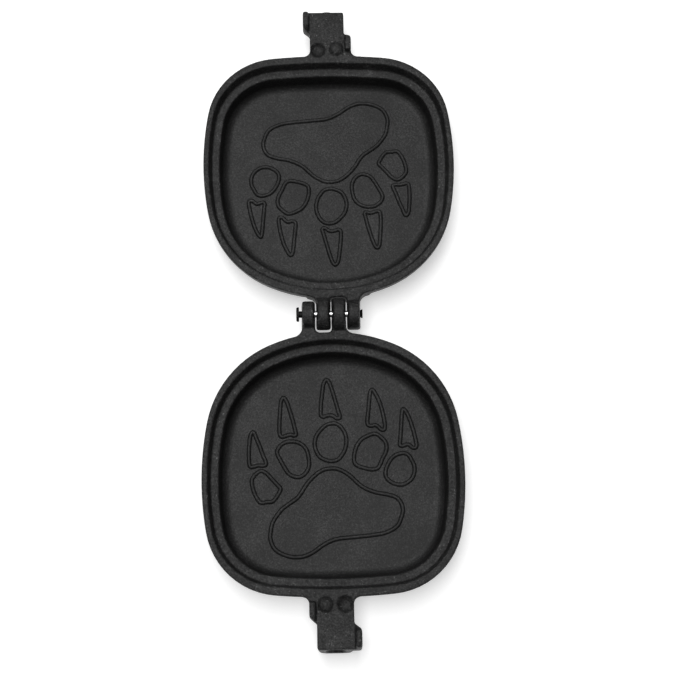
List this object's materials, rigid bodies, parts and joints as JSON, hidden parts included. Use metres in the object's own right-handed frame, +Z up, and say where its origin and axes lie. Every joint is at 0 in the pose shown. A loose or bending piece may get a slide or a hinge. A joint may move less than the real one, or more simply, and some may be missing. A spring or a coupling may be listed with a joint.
{
  "type": "pie iron",
  "caption": "Cast-iron pie iron head lying open: rounded-square pans with a crust ledge and raised track outlines, joined by a loose-pin hinge, with threaded rod tabs.",
  "frame": {"origin": "on the resting plane, below the middle of the hinge, with both halves open flat", "axes": "+X along the hinge pin, +Y from the lower half to the upper half, +Z up"},
  "size_m": [0.118, 0.3034, 0.026],
  "materials": {
    "iron": "seasoned, fine sand-cast grain",
    "pin": "drawn wire, bright shank and darkened ends"
  },
  "bodies": {
    "lower_half": {"lower_half": "iron"},
    "upper_half": {"upper_half": "iron"},
    "hinge_pin": {"hinge_pin": "pin"}
  },
  "joints": [
    {"name": "fold", "type": "hinge", "parent": "lower_half", "child": "upper_half", "pos_m": [0, 0, 0.01865], "axis": [1, 0, 0], "range_deg": [-8, 180]},
    {"name": "pin_float", "type": "slide", "parent": "lower_half", "child": "hinge_pin", "axis": [1, 0, 0], "range_m": [0, 0.00115]}
  ]
}
